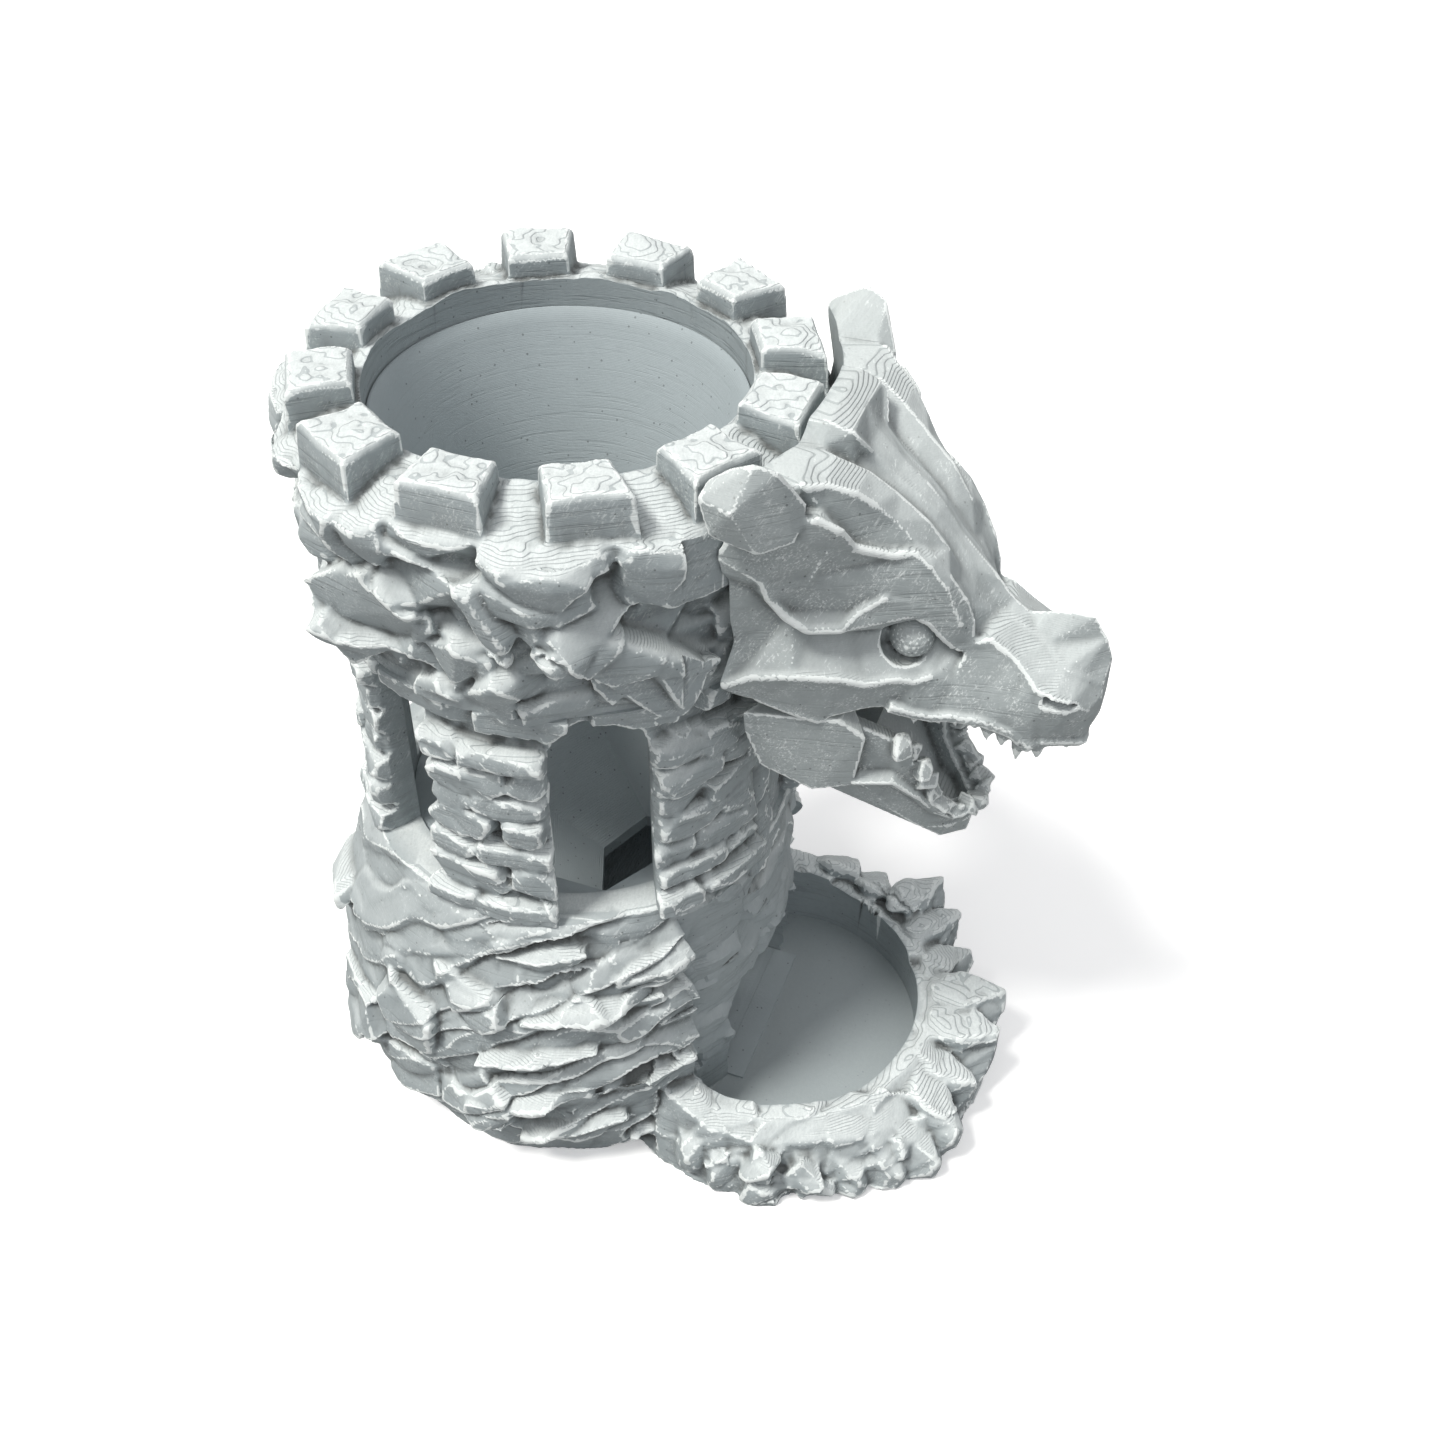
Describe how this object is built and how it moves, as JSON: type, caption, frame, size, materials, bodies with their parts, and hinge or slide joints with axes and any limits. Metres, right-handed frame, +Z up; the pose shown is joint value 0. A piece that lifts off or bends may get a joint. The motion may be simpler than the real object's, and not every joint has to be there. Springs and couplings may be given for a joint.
{
  "type": "dice tower",
  "caption": "Castle dice tower with an open arcade, a crenellated mouth, a dragon's head on the crown and a round catch tray at its foot.",
  "frame": {"origin": "on the tower's axis, at the flat underside of the foot", "axes": "+Z up along the tower's axis; the dragon's head and the catch tray face -Y; +X is to the right when the dragon is seen from the front"},
  "size_m": [0.11, 0.158, 0.1791],
  "materials": {
    "drybrushed_rock_print": "grey FDM-printed PLA rock, dry-brushed near-white on its raised edges",
    "drybrushed_head_print": "grey FDM-printed PLA with chiselled faces, dry-brushed near-white on its ridges",
    "bare_grey_print": "smooth unpainted grey FDM-printed PLA with fine level layer lines"
  },
  "bodies": {
    "tower": {"tray_base": "drybrushed_rock_print", "base_pins": "bare_grey_print", "arcade": "drybrushed_rock_print", "crown_pins": "bare_grey_print", "dice_chute": "bare_grey_print", "exit_ramp": "bare_grey_print"},
    "crown": {"crown": "drybrushed_rock_print"},
    "hopper": {"hopper": "bare_grey_print"},
    "head": {"dragon_skull": "drybrushed_head_print", "lower_jaw": "drybrushed_head_print", "head_pegs": "bare_grey_print", "jaw_pegs": "bare_grey_print"}
  },
  "joints": [
    {"name": "crown_lift", "type": "slide", "parent": "tower", "child": "crown", "axis": [0, 0, 1], "range_m": [0, 0.05]},
    {"name": "hopper_lift", "type": "slide", "parent": "crown", "child": "hopper", "axis": [0, 0, 1], "range_m": [0, 0.055]},
    {"name": "head_pull", "type": "slide", "parent": "crown", "child": "head", "axis": [0, -1, 0], "range_m": [0, 0.03]}
  ]
}
